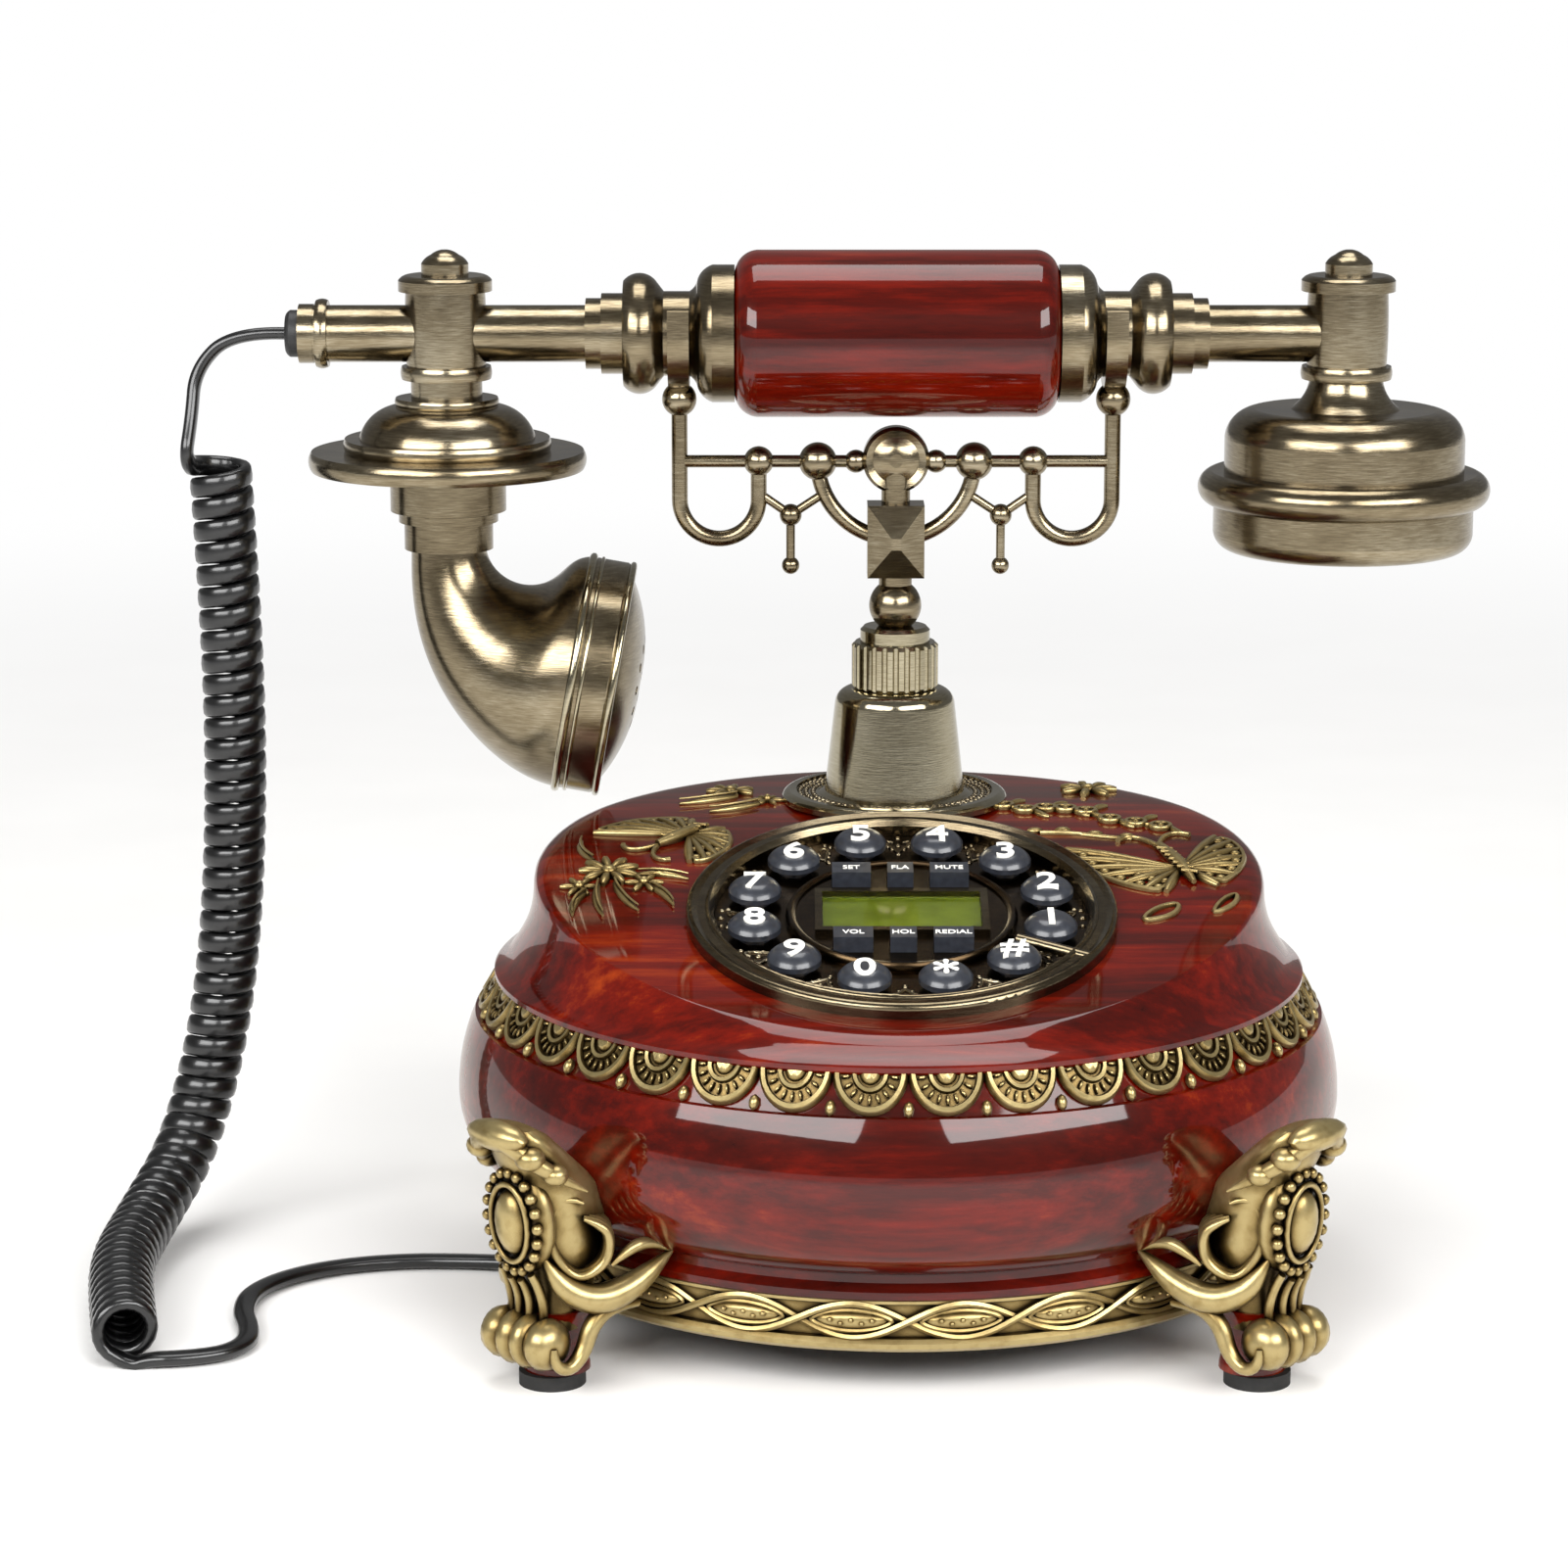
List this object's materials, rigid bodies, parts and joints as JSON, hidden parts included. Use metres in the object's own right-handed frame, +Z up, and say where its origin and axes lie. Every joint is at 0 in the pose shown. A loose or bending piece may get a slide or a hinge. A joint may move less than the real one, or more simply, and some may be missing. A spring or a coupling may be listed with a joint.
{
  "type": "french-style cradle phone",
  "caption": "Ornate desk telephone: turned red base on scroll feet, sloped push-button dial, pillar cradle and a brass handset with a coiled cord.",
  "frame": {"origin": "on the floor under the middle of the round base", "axes": "+X along the handset to the earpiece, +Y to the back, +Z up"},
  "size_m": [0.3118, 0.1946, 0.2252],
  "materials": {
    "red_lacquer": "glossy mahogany-red lacquer with wood streaks",
    "antique_brass": "brushed antique plating",
    "gilt": "antique gold paint with dark recesses",
    "key_slate": "slate grey keys with white figures",
    "window": "clear window",
    "display": "olive green display",
    "rubber": "dark rubber",
    "board": "green board",
    "black_plastic": "black plastic",
    "steel": "zinc plated",
    "cord": "glossy black vinyl",
    "clear_plug": "clear plug"
  },
  "bodies": {
    "base": {"lower_case": "red_lacquer", "upper_case": "red_lacquer", "pillar_flange": "antique_brass", "pillar_cone": "antique_brass", "pillar_nut": "antique_brass", "dial_bezel": "antique_brass", "dial_plate": "antique_brass", "display_frame": "antique_brass", "base_moulding": "gilt", "scallop_band": "gilt", "feet": "gilt", "gilt_reliefs": "gilt", "display_lens": "window", "display_panel": "display", "foot_pads": "rubber", "key_mat": "rubber", "circuit_board": "board", "base_plate": "black_plastic", "ringer_speaker": "black_plastic", "hook_switch": "black_plastic", "jack_blocks": "black_plastic", "base_screws": "steel", "hook_spring": "steel", "cord_curl": "cord", "cord_base_lead": "cord", "cord_plug": "clear_plug"},
    "cradle": {"cradle_stem": "antique_brass", "cradle_yoke": "antique_brass"},
    "handset": {"handset_grip": "red_lacquer", "handset_tube": "antique_brass", "grip_collars": "antique_brass", "handset_hubs": "antique_brass", "finial_nuts": "antique_brass", "mouth_dome": "antique_brass", "mouth_elbow": "antique_brass", "mouth_cap": "antique_brass", "mic_capsule": "black_plastic", "ear_cup": "antique_brass", "ear_cap": "antique_brass", "ear_capsule": "black_plastic", "cord_gland": "antique_brass", "cord_top_lead": "cord"},
    "key_2": {"key_2": "key_slate"},
    "key_3": {"key_3": "key_slate"},
    "key_4": {"key_4": "key_slate"},
    "key_5": {"key_5": "key_slate"},
    "key_6": {"key_6": "key_slate"},
    "key_7": {"key_7": "key_slate"},
    "key_8": {"key_8": "key_slate"},
    "key_9": {"key_9": "key_slate"},
    "key_0": {"key_0": "key_slate"},
    "key_star": {"key_star": "key_slate"},
    "key_hash": {"key_hash": "key_slate"},
    "key_1": {"key_1": "key_slate"},
    "key_set": {"key_set": "key_slate"},
    "key_flash": {"key_flash": "key_slate"},
    "key_mute": {"key_mute": "key_slate"},
    "key_volume": {"key_volume": "key_slate"},
    "key_hold": {"key_hold": "key_slate"},
    "key_redial": {"key_redial": "key_slate"}
  },
  "joints": [
    {"name": "handset_lift", "type": "slide", "parent": "base", "child": "handset", "axis": [0, 0, 1], "range_m": [0, 0.12], "deforming": ["cord_curl"]},
    {"name": "cradle_hook", "type": "slide", "parent": "base", "child": "cradle", "axis": [0, 0, 1], "range_m": [0, 0.005], "stiffness_N_per_m": 100, "springref_m": 0.02, "deforming": ["hook_spring"]},
    {"name": "key_2_press", "type": "slide", "parent": "base", "child": "key_2", "axis": [0, 0.2334, -0.9724], "range_m": [0, 0.0015], "stiffness_N_per_m": 200, "springref_m": -0.001},
    {"name": "key_3_press", "type": "slide", "parent": "base", "child": "key_3", "axis": [0, 0.2334, -0.9724], "range_m": [0, 0.0015], "stiffness_N_per_m": 200, "springref_m": -0.001},
    {"name": "key_4_press", "type": "slide", "parent": "base", "child": "key_4", "axis": [0, 0.2334, -0.9724], "range_m": [0, 0.0015], "stiffness_N_per_m": 200, "springref_m": -0.001},
    {"name": "key_5_press", "type": "slide", "parent": "base", "child": "key_5", "axis": [0, 0.2334, -0.9724], "range_m": [0, 0.0015], "stiffness_N_per_m": 200, "springref_m": -0.001},
    {"name": "key_6_press", "type": "slide", "parent": "base", "child": "key_6", "axis": [0, 0.2334, -0.9724], "range_m": [0, 0.0015], "stiffness_N_per_m": 200, "springref_m": -0.001},
    {"name": "key_7_press", "type": "slide", "parent": "base", "child": "key_7", "axis": [0, 0.2334, -0.9724], "range_m": [0, 0.0015], "stiffness_N_per_m": 200, "springref_m": -0.001},
    {"name": "key_8_press", "type": "slide", "parent": "base", "child": "key_8", "axis": [0, 0.2334, -0.9724], "range_m": [0, 0.0015], "stiffness_N_per_m": 200, "springref_m": -0.001},
    {"name": "key_9_press", "type": "slide", "parent": "base", "child": "key_9", "axis": [0, 0.2334, -0.9724], "range_m": [0, 0.0015], "stiffness_N_per_m": 200, "springref_m": -0.001},
    {"name": "key_0_press", "type": "slide", "parent": "base", "child": "key_0", "axis": [0, 0.2334, -0.9724], "range_m": [0, 0.0015], "stiffness_N_per_m": 200, "springref_m": -0.001},
    {"name": "key_star_press", "type": "slide", "parent": "base", "child": "key_star", "axis": [0, 0.2334, -0.9724], "range_m": [0, 0.0015], "stiffness_N_per_m": 200, "springref_m": -0.001},
    {"name": "key_hash_press", "type": "slide", "parent": "base", "child": "key_hash", "axis": [0, 0.2334, -0.9724], "range_m": [0, 0.0015], "stiffness_N_per_m": 200, "springref_m": -0.001},
    {"name": "key_1_press", "type": "slide", "parent": "base", "child": "key_1", "axis": [0, 0.2334, -0.9724], "range_m": [0, 0.0015], "stiffness_N_per_m": 200, "springref_m": -0.001},
    {"name": "key_set_press", "type": "slide", "parent": "base", "child": "key_set", "axis": [0, 0.2334, -0.9724], "range_m": [0, 0.0015], "stiffness_N_per_m": 200, "springref_m": -0.001},
    {"name": "key_flash_press", "type": "slide", "parent": "base", "child": "key_flash", "axis": [0, 0.2334, -0.9724], "range_m": [0, 0.0015], "stiffness_N_per_m": 200, "springref_m": -0.001},
    {"name": "key_mute_press", "type": "slide", "parent": "base", "child": "key_mute", "axis": [0, 0.2334, -0.9724], "range_m": [0, 0.0015], "stiffness_N_per_m": 200, "springref_m": -0.001},
    {"name": "key_volume_press", "type": "slide", "parent": "base", "child": "key_volume", "axis": [0, 0.2334, -0.9724], "range_m": [0, 0.0015], "stiffness_N_per_m": 200, "springref_m": -0.001},
    {"name": "key_hold_press", "type": "slide", "parent": "base", "child": "key_hold", "axis": [0, 0.2334, -0.9724], "range_m": [0, 0.0015], "stiffness_N_per_m": 200, "springref_m": -0.001},
    {"name": "key_redial_press", "type": "slide", "parent": "base", "child": "key_redial", "axis": [0, 0.2334, -0.9724], "range_m": [0, 0.0015], "stiffness_N_per_m": 200, "springref_m": -0.001}
  ],
  "couplings": [
    {"joint": "cradle_hook", "follows": "handset_lift", "ratio": 0.0416}
  ]
}
